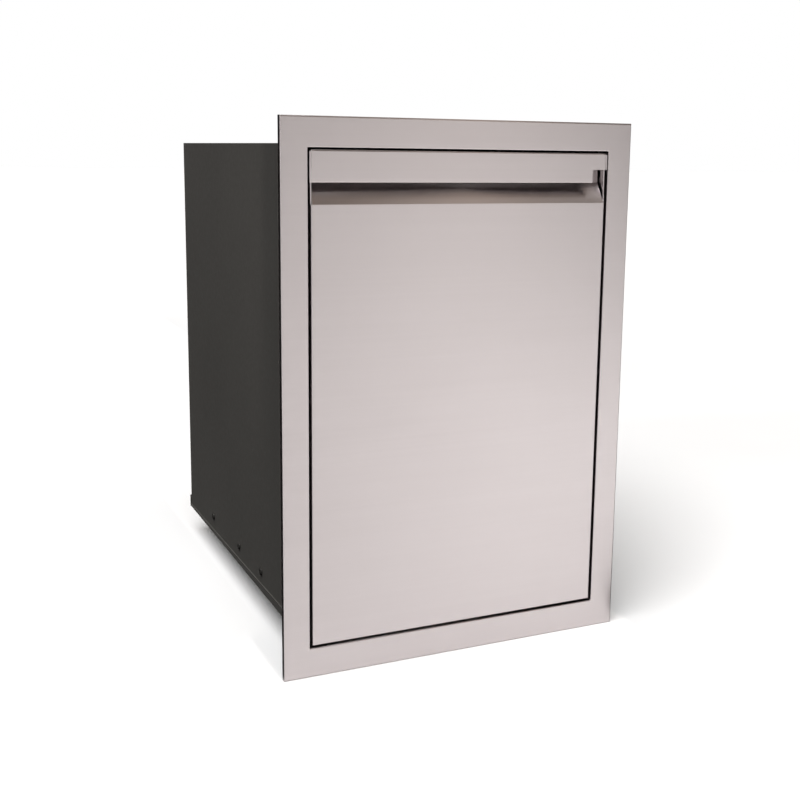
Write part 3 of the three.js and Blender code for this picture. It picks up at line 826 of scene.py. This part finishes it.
def front_shell(name, bend, inset, rear):
    """The drawer front's outer shape, or with an inset its hollow, as a closed solid. The front
    edges are rolled, and the sides lean out by SIDE_DRAFT down to DRAFT_DEPTH."""
    corner = 1.2 * MM

    def layer(growth, lean, y):
        low = (-FRONT_HALF + growth + lean, FRONT_LOW.z + growth)
        high = (FRONT_HALF - growth - lean, FRONT_HIGH.z - growth)
        return ring(low, high, max(corner - growth, 0.3 * MM), y)

    face = FACE_Y + inset
    rolled = [
        layer(inset + bend * (1 - math.sin(turn)), SIDE_DRAFT, face + bend * (1 - math.cos(turn)))
        for turn in QUARTER_TURN
    ]
    return loft(name, [*rolled, layer(inset, 0, FACE_Y + DRAFT_DEPTH), layer(inset, 0, rear)])


def lip_corners(bend):
    """Square bars at both ends of the lip, which is sheared flat there and not folded back."""
    bars = []
    for side, start in ((-1, RECESS_TOP), (1, RECESS_TOP + NOTCH_HEIGHT)):
        inner, outer = sorted((side * (FRONT_HALF - SIDE_DRAFT - bend), side * FRONT_HALF))
        bars.append(block("bar", (inner, FACE_Y, start), (outer, FACE_Y + bend, FRONT_HIGH.z - bend)))
    return bars


def lip_ends(pan, hem_top):
    """The cut-out at the lip's lower right corner, and a fine seam where the lip meets each fold."""
    far = FRONT_HALF + 5 * MM
    notch = block(
        "notch",
        (FRONT_HALF - NOTCH_WIDTH, FACE_Y - 5 * MM, RECESS_BOTTOM + 10 * MM),
        (far, FACE_Y + 3.2 * MM, hem_top),
    )
    seams = [
        block(
            "seam",
            (side * (FRONT_HALF - 1.9 * MM) - 0.2 * MM, FACE_Y - 5 * MM, hem_top),
            (side * (FRONT_HALF - 1.9 * MM) + 0.2 * MM, FACE_Y + 0.7 * MM, FRONT_HIGH.z - 2 * MM),
        )
        for side in BOTH_SIDES
    ]
    cut(pan, notch, *seams)


# ---- Cabinet ----


def side_panel(name, low, high):
    """A flat sheet, with clearance holes for the slide's screws."""
    panel = block(name, low, high)
    cut(panel, merge("holes", [
        prism("hole", round_outline((FACE_Y + y, SLIDE_Z), 2.6 * MM), (low.x - MM, high.x + MM), "x")
        for y in SLIDE_SCREW_Y
    ]))
    return soften(panel, 0.2 * MM)


def top_panel():
    """A sheet with its sides folded down, between the frame's collar and the rear panel."""
    low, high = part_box("top_panel")
    path = [(low.x, low.z), (low.x, high.z), (high.x, high.z), (high.x, low.z)]
    panel = bent_sheet("folded_top", path, (low.y, high.y), "y")
    reliefs = [
        block("relief", (low.x - MM, y0, low.z - MM), (high.x + MM, y1, high.z - 2 * SHEET))
        for y0, y1 in (
            (low.y - MM, FACE_Y + COLLAR_DEPTH + GAP),
            (high.y - REAR_FOLD - SHEET - 2 * GAP, high.y + MM),
        )
    ]
    cut(panel, *reliefs)
    place_piece(soften(panel, 0.15 * MM), "top_panel")


def rear_panel():
    """A sheet with its sides folded forward, and a row of spot welds along each fold."""
    low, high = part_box("rear_panel")
    path = [(low.x, low.y), (low.x, high.y), (high.x, high.y), (high.x, low.y)]
    panel = bent_sheet("folded_rear", path, (low.z, high.z), "z")
    rows = 9
    welds = [
        weld_mark((side * (high.x - REAR_FOLD / 2), high.y, low.z + (row + 0.5) * (high.z - low.z) / rows))
        for side in BOTH_SIDES
        for row in range(rows)
    ]
    cut(panel, merge("welds", welds))
    place_piece(soften(panel, 0.15 * MM), "rear_panel")


def weld_mark(place):
    """A shallow round dimple for cutting into a face that looks towards +Y."""
    profile = [(0, -0.15 * MM), (2 * MM, -0.15 * MM), (2.8 * MM, 0), (2.8 * MM, MM), (0, MM)]
    return turned("weld", profile, place, (0, 1, 0), 16)


def bottom_pan():
    """A floor with its sides folded up, a front fold down behind the collar and a rear fold up."""
    low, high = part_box("bottom_pan")
    front = FACE_Y + COLLAR_DEPTH + GAP
    floor_z = FRAME_LOW.z + PAN_BOTTOM
    path = [
        (high.x, floor_z + PAN_EDGE_FRONT),
        (high.x, floor_z),
        (low.x, floor_z),
        (low.x, floor_z + PAN_EDGE_FRONT),
    ]
    pan = bent_sheet("folded_pan", path, (low.y, high.y), "y")
    taper = prism(
        "taper",
        [
            (low.y, floor_z + PAN_EDGE_FRONT),
            (high.y, floor_z + PAN_EDGE_REAR),
            (high.y + MM, floor_z + PAN_EDGE_REAR),
            (high.y + MM, floor_z + 2 * PAN_EDGE_FRONT),
            (low.y, floor_z + 2 * PAN_EDGE_FRONT),
        ],
        (low.x - MM, high.x + MM),
        "x",
    )
    bend_reach = SHEET + BEND + 0.1 * MM
    opening = block(
        "opening",
        (low.x + bend_reach, low.y - MM, floor_z - MM),
        (high.x - bend_reach, front, floor_z + 5 * MM),
    )
    cut(pan, taper, opening)
    front_fold = block(
        "front_fold", (-OPENING_HALF, front, low.z), (OPENING_HALF, front + SHEET, floor_z + SHEET)
    )
    rear_fold = block("rear_fold", (low.x, high.y - SHEET, floor_z), (high.x, high.y, high.z))
    join(pan, front_fold, rear_fold)
    place_piece(soften(pan, 0.3 * MM), "bottom_pan")


def stop_bracket(name, low, high):
    """An angle on the side panel that carries a rubber stop for the drawer front."""
    path = [(high.x, high.y), (high.x, low.y), (low.x, low.y)]
    angle = bent_sheet(name, path, (low.z, high.z), "z")
    return soften(angle, 0.25 * MM)


def stop_bumper(name, low, high):
    """A rubber button with a domed nose that looks forwards."""
    radius = (high.x - low.x) / 2
    length = high.y - low.y
    profile = [
        (0, 0), (0.45 * radius, 0), (0.62 * radius, 0.05 * length), (0.72 * radius, 0.14 * length),
        (0.86 * radius, 0.22 * length), (0.95 * radius, 0.32 * length), (radius, 0.5 * length),
        (radius, 0.94 * length), (0.96 * radius, length), (0, length),
    ]
    nose = ((low.x + high.x) / 2, low.y, (low.z + high.z) / 2)
    return turned(name, profile, nose, (0, 1, 0), 40)


# ---- Slides ----


def slide_rail(name, low, high):
    """A bent channel that spaces the slide off the side panel."""
    tab = 10 * MM
    path = [
        (high.x, low.z),
        (low.x, low.z),
        (low.x, high.z - tab),
        (high.x - SHEET, high.z - tab),
        (high.x - SHEET, high.z),
    ]
    rail = bent_sheet(name, path, (low.y, high.y), "y", inside_radius=0.3 * MM)
    return soften(drilled(rail, low, high, SLIDE_SCREW_Y, 2.6 * MM), 0.15 * MM)


def drilled(piece, low, high, places, radius):
    """Round holes through a piece along X, at the slide's height and the given depths."""
    span = (low.x - MM, high.x + MM)
    holes = [prism("hole", round_outline((FACE_Y + y, SLIDE_Z), radius), span, "x") for y in places]
    return cut(piece, merge("holes", holes))


def slotted(piece, low, high, places):
    """Round-ended slots through a member's web, along the slide."""
    span = (low.x - MM, high.x + MM)
    slots = [
        prism("slot", slot_outline((FACE_Y + y, SLIDE_Z), SLOT_HALF_LENGTH, SLOT_RADIUS), span, "x")
        for y in places
    ]
    return cut(piece, merge("slots", slots))


def outer_member(name, low, high):
    """The widest channel. Its lips turn in to hold the outer row of balls."""
    lip = 2 * SHEET
    path = [
        (low.x, high.z - lip),
        (low.x, high.z),
        (high.x, high.z),
        (high.x, low.z),
        (low.x, low.z),
        (low.x, low.z + lip),
    ]
    member = bent_sheet(name, path, (low.y, high.y), "y", inside_radius=0.9 * MM)
    slotted(member, low, high, OUTER_SLOT_Y)
    return soften(drilled(member, low, high, SLIDE_SCREW_Y, 2.6 * MM), 0.12 * MM)


def middle_member(name, low, high):
    path = [(low.x, high.z), (high.x, high.z), (high.x, low.z), (low.x, low.z)]
    member = bent_sheet(name, path, (low.y, high.y), "y", inside_radius=0.9 * MM)
    return soften(slotted(member, low, high, MIDDLE_SLOT_Y), 0.12 * MM)


def inner_member(name, low, high):
    """The narrowest channel, open towards the wall, with the release lever inside it."""
    path = [(high.x, low.z), (low.x, low.z), (low.x, high.z), (high.x, high.z)]
    member = bent_sheet(name, path, (low.y, high.y), "y", inside_radius=0.9 * MM)
    slotted(member, low, high, INNER_SLOT_Y)
    drilled(member, low, high, TRAY_SCREW_Y, 2.4 * MM)
    return soften(drilled(member, low, high, [LEVER_PIVOT_Y], 1.9 * MM), 0.12 * MM)


def ball_retainer(name, low, high, ball_x):
    """A thin strip with windows in its web, holding a row of balls above and below."""
    ball_height = (high.z - low.z) / 2 - BALL_RADIUS
    half = ball_height + RETAINER_SHEET / 2
    top, bottom = SLIDE_Z + half, SLIDE_Z - half
    path = [(low.x, top), (high.x, top), (high.x, bottom), (low.x, bottom)]
    strip = bent_sheet(name, path, (low.y, high.y), "y", RETAINER_SHEET, 0.4 * MM)
    pitch = (high.y - low.y) / BALLS_PER_ROW
    windows = [
        prism(
            "window",
            slot_outline((low.y + index * pitch, SLIDE_Z), 0.38 * pitch, 0.4 * half),
            (low.x - MM, high.x + MM),
            "x",
        )
        for index in range(1, BALLS_PER_ROW)
    ]
    cut(strip, merge("windows", windows))
    balls = [
        ball((ball_x, low.y + (index + 0.5) * pitch, SLIDE_Z + end * ball_height))
        for end in (-1, 1)
        for index in range(BALLS_PER_ROW)
    ]
    return join(strip, merge("balls", balls))


def ball(centre):
    steps = 10
    profile = [
        (BALL_RADIUS * math.sin(math.pi * k / steps), -BALL_RADIUS * math.cos(math.pi * k / steps))
        for k in range(steps + 1)
    ]
    return turned("ball", profile, centre, (1, 0, 0), 20)


def outer_retainer(name, low, high):
    return ball_retainer(name, low, high, OUTER_BALL_X)


def inner_retainer(name, low, high):
    return ball_retainer(name, low, high, INNER_BALL_X)


def slide_bumper(name, low, high):
    """A rubber block at the outer member's rear end, ribbed on the face that the drawer meets."""
    bumper = soften(block(name, low, high), 0.8 * MM, 3)
    height = high.z - low.z
    grooves = [
        block(
            "groove",
            (low.x - MM, low.y - MM, low.z + height * (k + 1) / 6 - 0.6 * MM),
            (high.x + MM, low.y + 0.9 * MM, low.z + height * (k + 1) / 6 + 0.6 * MM),
        )
        for k in range(5)
    ]
    return cut(bumper, merge("grooves", grooves))


def release_lever(name, low, high):
    """A flat plastic lever: a round root on its pivot, a slim arm, and a thumb pad at the tip."""
    pivot = FACE_Y + LEVER_PIVOT_Y
    root = high.y - pivot
    arm = 2 * MM
    outline = [
        (pivot + root, SLIDE_Z - root + 1.5 * MM),
        (pivot + root, SLIDE_Z + root - 1.5 * MM),
        (pivot + root - 1.5 * MM, SLIDE_Z + root),
        (pivot - root, SLIDE_Z + root),
        (pivot - 14 * MM, SLIDE_Z + arm),
        (low.y, SLIDE_Z + arm),
        (low.y, low.z),
        (low.y + 12 * MM, low.z),
        (low.y + 16 * MM, SLIDE_Z - arm),
        (pivot - 14 * MM, SLIDE_Z - arm),
        (pivot - root, SLIDE_Z - root),
        (pivot + root - 1.5 * MM, SLIDE_Z - root),
    ]
    lever = soften(prism(name, outline, (low.x, high.x), "x"), 0.35 * MM, 3)
    grips = [
        block(
            "grip",
            (low.x - MM, low.y + (2 * k + 1.5) * MM, low.z - MM),
            (high.x + MM, low.y + (2 * k + 2.3) * MM, low.z + 0.5 * MM),
        )
        for k in range(5)
    ]
    cut(lever, merge("grips", grips))
    return drilled(lever, low, high, [LEVER_PIVOT_Y], 1.9 * MM)


def lever_pivot(name, low, high):
    """A rivet with a domed head on the wall side."""
    head = (high.z - low.z) / 2
    length = high.x - low.x
    shank = length - 1 * MM
    profile = [
        (0, 0), (0.42 * head, 0), (0.53 * head, 0.2 * MM), (0.53 * head, shank), (0.97 * head, shank),
        (head, shank + 0.15 * MM), (0.94 * head, shank + 0.5 * MM), (0.7 * head, shank + 0.85 * MM),
        (0, length),
    ]
    return turned(name, profile, (low.x, FACE_Y + LEVER_PIVOT_Y, SLIDE_Z), (1, 0, 0), 32)


# ---- Tray, brackets and liner ----


def bin_tray():
    """A shallow open box with folded lower edges and welded corners, and drain holes in its floor."""
    low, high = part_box("bin_tray")
    outer_bend = SHEET + BEND
    corner = 2 * MM

    def layer(inset, height):
        return ring(
            (low.x + inset, low.y + inset),
            (high.x - inset, high.y - inset),
            corner - inset,
            low.z + height,
            plane="xy",
        )

    rim = high.z - low.z
    rings = [layer(outer_bend * (1 - math.sin(t)), outer_bend * (1 - math.cos(t))) for t in QUARTER_TURN]
    rings += [layer(0, rim - 0.3 * MM), layer(0.3 * MM, rim)]
    rings += [layer(SHEET - 0.3 * MM, rim), layer(SHEET, rim - 0.3 * MM)]
    rings += [
        layer(SHEET + BEND * (1 - math.cos(t)), SHEET + BEND * (1 - math.sin(t))) for t in QUARTER_TURN
    ]
    tray = loft("folded_tray", rings)
    span = (low.z - MM, low.z + 2 * SHEET)
    holes = [
        prism("drain", round_outline((x, FACE_Y + y), 5 * MM, 32), span, "z") for x, y in DRAIN_HOLES
    ]
    cut(tray, merge("drains", holes))
    drilled(tray, low, high, TRAY_SCREW_Y, 2.4 * MM)
    place_piece(tray, "bin_tray")


def front_bracket(name, low, high):
    """A triangular plate inside the tray, folded onto the drawer front, with lightening holes."""
    path = [(high.x, high.y), (high.x, low.y), (low.x, low.y)]
    plate = bent_sheet(name, path, (low.z, high.z), "z")
    above_tray = TRAY_HIGH.z + 2.5 * MM
    foot = block(
        "foot", (low.x - MM, low.y - MM, low.z - MM), (high.x + MM, low.y + SHEET + 2 * GAP, above_tray)
    )
    shoulder = low.y + 24 * MM
    slope = prism(
        "slope",
        [
            (shoulder, high.z),
            (shoulder, high.z + MM),
            (high.y + MM, high.z + MM),
            (high.y + MM, above_tray),
            (high.y, above_tray),
        ],
        (low.x - MM, high.x + MM),
        "x",
    )
    cut(plate, foot, slope)
    through_plate = (high.x - 4 * MM, high.x + MM)
    holes = [
        prism("hole", round_outline((FACE_Y + y, z), radius, 48), through_plate, "x")
        for y, z, radius in LIGHTENING_HOLES
    ]
    tray_hole = round_outline((FACE_Y + TRAY_SCREW_Y[0], SLIDE_Z), 2.4 * MM)
    holes.append(prism("hole", tray_hole, through_plate, "x"))
    through_fold = (low.y - MM, low.y + 2 * SHEET)
    screw_x = high.x - 12 * MM
    holes += [
        prism("hole", round_outline((screw_x, z), 2.4 * MM), through_fold, "y") for z in BRACKET_SCREW_Z
    ]
    cut(plate, merge("holes", holes))
    return soften(plate, 0.15 * MM)


def front_liner():
    """A flat sheet behind the drawer front, with its middle pressed forwards inside a border."""
    low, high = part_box("front_liner")
    border = 40 * MM
    press = 0.8 * MM
    slope = 1.6 * MM

    def edge(inset, y):
        return ring((low.x + inset, low.z + inset), (high.x - inset, high.z - inset), 6 * MM, y)

    liner = loft("pressed_liner", [
        edge(border + slope, high.y - press),
        edge(border, high.y),
        edge(0, high.y),
        edge(0, low.y),
        edge(border, low.y),
        edge(border + slope, low.y - press),
    ])
    screw_low, screw_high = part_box("bracket_screw_right_1")
    centre = (screw_low.x + screw_high.x) / 2
    span = (low.y - 2 * MM, high.y + MM)
    holes = [
        prism("hole", round_outline((side * centre, z), 2.4 * MM), span, "y")
        for side in BOTH_SIDES
        for z in BRACKET_SCREW_Z
    ]
    cut(liner, merge("holes", holes))
    place_piece(liner, "front_liner", 12)


# ---- Bin ----


def waste_bin():
    """A moulded bin with a raised foot, two stepped bands, and a rim that turns out and down."""
    low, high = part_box("waste_bin")
    centre = (low + high) / 2
    height = high.z - low.z
    rim_half = Vector((high.x - centre.x, high.y - centre.y))
    mouth_half = rim_half - Vector((7, 7)) * MM
    base_half = mouth_half - Vector((17, 18)) * MM
    foot, rim_drop = 6 * MM, 12 * MM
    wall, corner = 2.5 * MM, 42 * MM

    def layer(half, inset, z):
        middle = Vector((centre.x, centre.y))
        size = half - Vector((inset, inset))
        return ring(middle - size, middle + size, corner - inset, low.z + z, steps=10, plane="xy")

    def wall_half(z):
        share = (z - foot) / (height - rim_drop - foot)
        return base_half.lerp(mouth_half, min(max(share, 0), 1))

    outside = [
        layer(base_half, 14 * MM, 1.6 * MM),
        layer(base_half, 12.5 * MM, 0),
        layer(base_half, 4 * MM, 0),
        layer(base_half, 1.2 * MM, 1.6 * MM),
        layer(base_half, 0, foot),
    ]
    for band in BIN_BANDS:
        outside += [
            layer(wall_half(band), 0, band),
            layer(wall_half(band), -1.2 * MM, band + 1.2 * MM),
            layer(wall_half(band), -1.2 * MM, band + 9 * MM),
            layer(wall_half(band + 10 * MM), 0, band + 10.4 * MM),
        ]
    rim = [
        layer(mouth_half, 0, height - rim_drop),
        layer(mouth_half, 0, height - 3.4 * MM),
        layer(mouth_half, -0.8 * MM, height - 2.6 * MM),
        layer(rim_half, 2.8 * MM, height - 2.6 * MM),
        layer(rim_half, 2 * MM, height - 3.4 * MM),
        layer(rim_half, 2 * MM, height - rim_drop),
        layer(rim_half, 0.4 * MM, height - rim_drop),
        layer(rim_half, 0, height - rim_drop + 0.4 * MM),
        layer(rim_half, 0, height - 2 * MM),
        layer(rim_half, 0.6 * MM, height - 0.6 * MM),
        layer(rim_half, 2 * MM, height),
        layer(mouth_half, 0.6 * MM, height),
        layer(mouth_half, wall - 0.3 * MM, height - 0.6 * MM),
        layer(mouth_half, wall, height - 2 * MM),
    ]
    inside = [
        layer(base_half, wall, 16 * MM),
        layer(base_half, wall + 1.5 * MM, 9 * MM),
        layer(base_half, wall + 5 * MM, 5 * MM),
        layer(base_half, wall + 10 * MM, 4 * MM),
    ]
    place_piece(loft("moulded_bin", outside + rim + inside), "waste_bin", 40)


# ---- Screws ----


def pan_screw(name, node, direction, turn):
    """A pan-head screw with a cross recess. The head looks along the direction."""
    low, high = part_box(node)
    axis = Vector(direction)
    centre = (low + high) / 2
    length = abs((high - low).dot(axis))
    top = centre + axis * length / 2
    seat = top - axis * HEAD_HEIGHT
    shank = length - HEAD_HEIGHT
    profile = [
        (0, -shank), (1.6 * MM, -shank), (2 * MM, -shank + 0.4 * MM), (2 * MM, 0), (4.8 * MM, 0),
        (5 * MM, 0.2 * MM), (5 * MM, 0.9 * MM), (4.7 * MM, 1.4 * MM), (3.9 * MM, 1.85 * MM),
        (2.7 * MM, 2.1 * MM), (1.4 * MM, 2.18 * MM), (0, HEAD_HEIGHT),
    ]
    screw = turned(name, profile, seat, direction, 40)
    cut(screw, cross_recess(top, axis, turn))
    place_piece(screw, node, 35)


def cross_recess(top, axis, turn):
    """A tapering cross, for cutting into a screw's head."""
    spin = Vector((0, 0, 1)).rotation_difference(axis).to_matrix() @ Matrix.Rotation(turn, 3, "Z")
    reach, half_width = 2.3 * MM, 0.45 * MM
    corners = [
        (reach, -half_width), (reach, half_width), (half_width, half_width), (half_width, reach),
        (-half_width, reach), (-half_width, half_width), (-reach, half_width), (-reach, -half_width),
        (-half_width, -half_width), (-half_width, -reach), (half_width, -reach), (half_width, -half_width),
    ]
    rings = [
        [top + spin @ Vector((x * size, y * size, height)) for x, y in corners]
        for height, size in ((0.3 * MM, 1.1), (-1.4 * MM, 0.55))
    ]
    return loft("cross", rings)


def screws():
    for side in BOTH_SIDES:
        end = side_name(side)
        for index in (1, 2, 3):
            node = f"slide_screw_{end}_{index}"
            pan_screw(f"pan_head_{node}", node, (side, 0, 0), 0.7 * index + side)
        for index in (1, 2):
            node = f"bracket_screw_{end}_{index}"
            pan_screw(f"pan_head_{node}", node, (0, 1, 0), 0.9 * index + side)
            node = f"tray_screw_{end}_{index}"
            pan_screw(f"pan_head_{node}", node, (-side, 0, 0), 1.1 * index - side)


# ---- Pairs ----

PAIRS = [
    (side_panel, "side_panel"),
    (stop_bracket, "stop_bracket"),
    (stop_bumper, "stop_bumper"),
    (slide_rail, "slide_rail"),
    (outer_member, "slide_outer"),
    (middle_member, "slide_middle"),
    (inner_member, "slide_inner"),
    (outer_retainer, "outer_retainer"),
    (inner_retainer, "inner_retainer"),
    (slide_bumper, "slide_bumper"),
    (release_lever, "release_lever"),
    (lever_pivot, "lever_pivot"),
    (front_bracket, "front_bracket"),
]


def both_sides():
    """Builds each piece for the right, and mirrors a second one for the left."""
    for build, node in PAIRS:
        for side in BOTH_SIDES:
            end = side_name(side)
            piece = build(f"{build.__name__}_shape_{end}", *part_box(f"{node}_right"))
            if side < 0:
                piece.data.transform(Matrix.Scale(-1, 4, (1, 0, 0)))
                piece.data.flip_normals()
            place_piece(piece, f"{node}_{end}")


make_camera()
make_floor()
make_light()
face_frame()
drawer_front()
top_panel()
rear_panel()
bottom_pan()
bin_tray()
front_liner()
waste_bin()
both_sides()
screws()
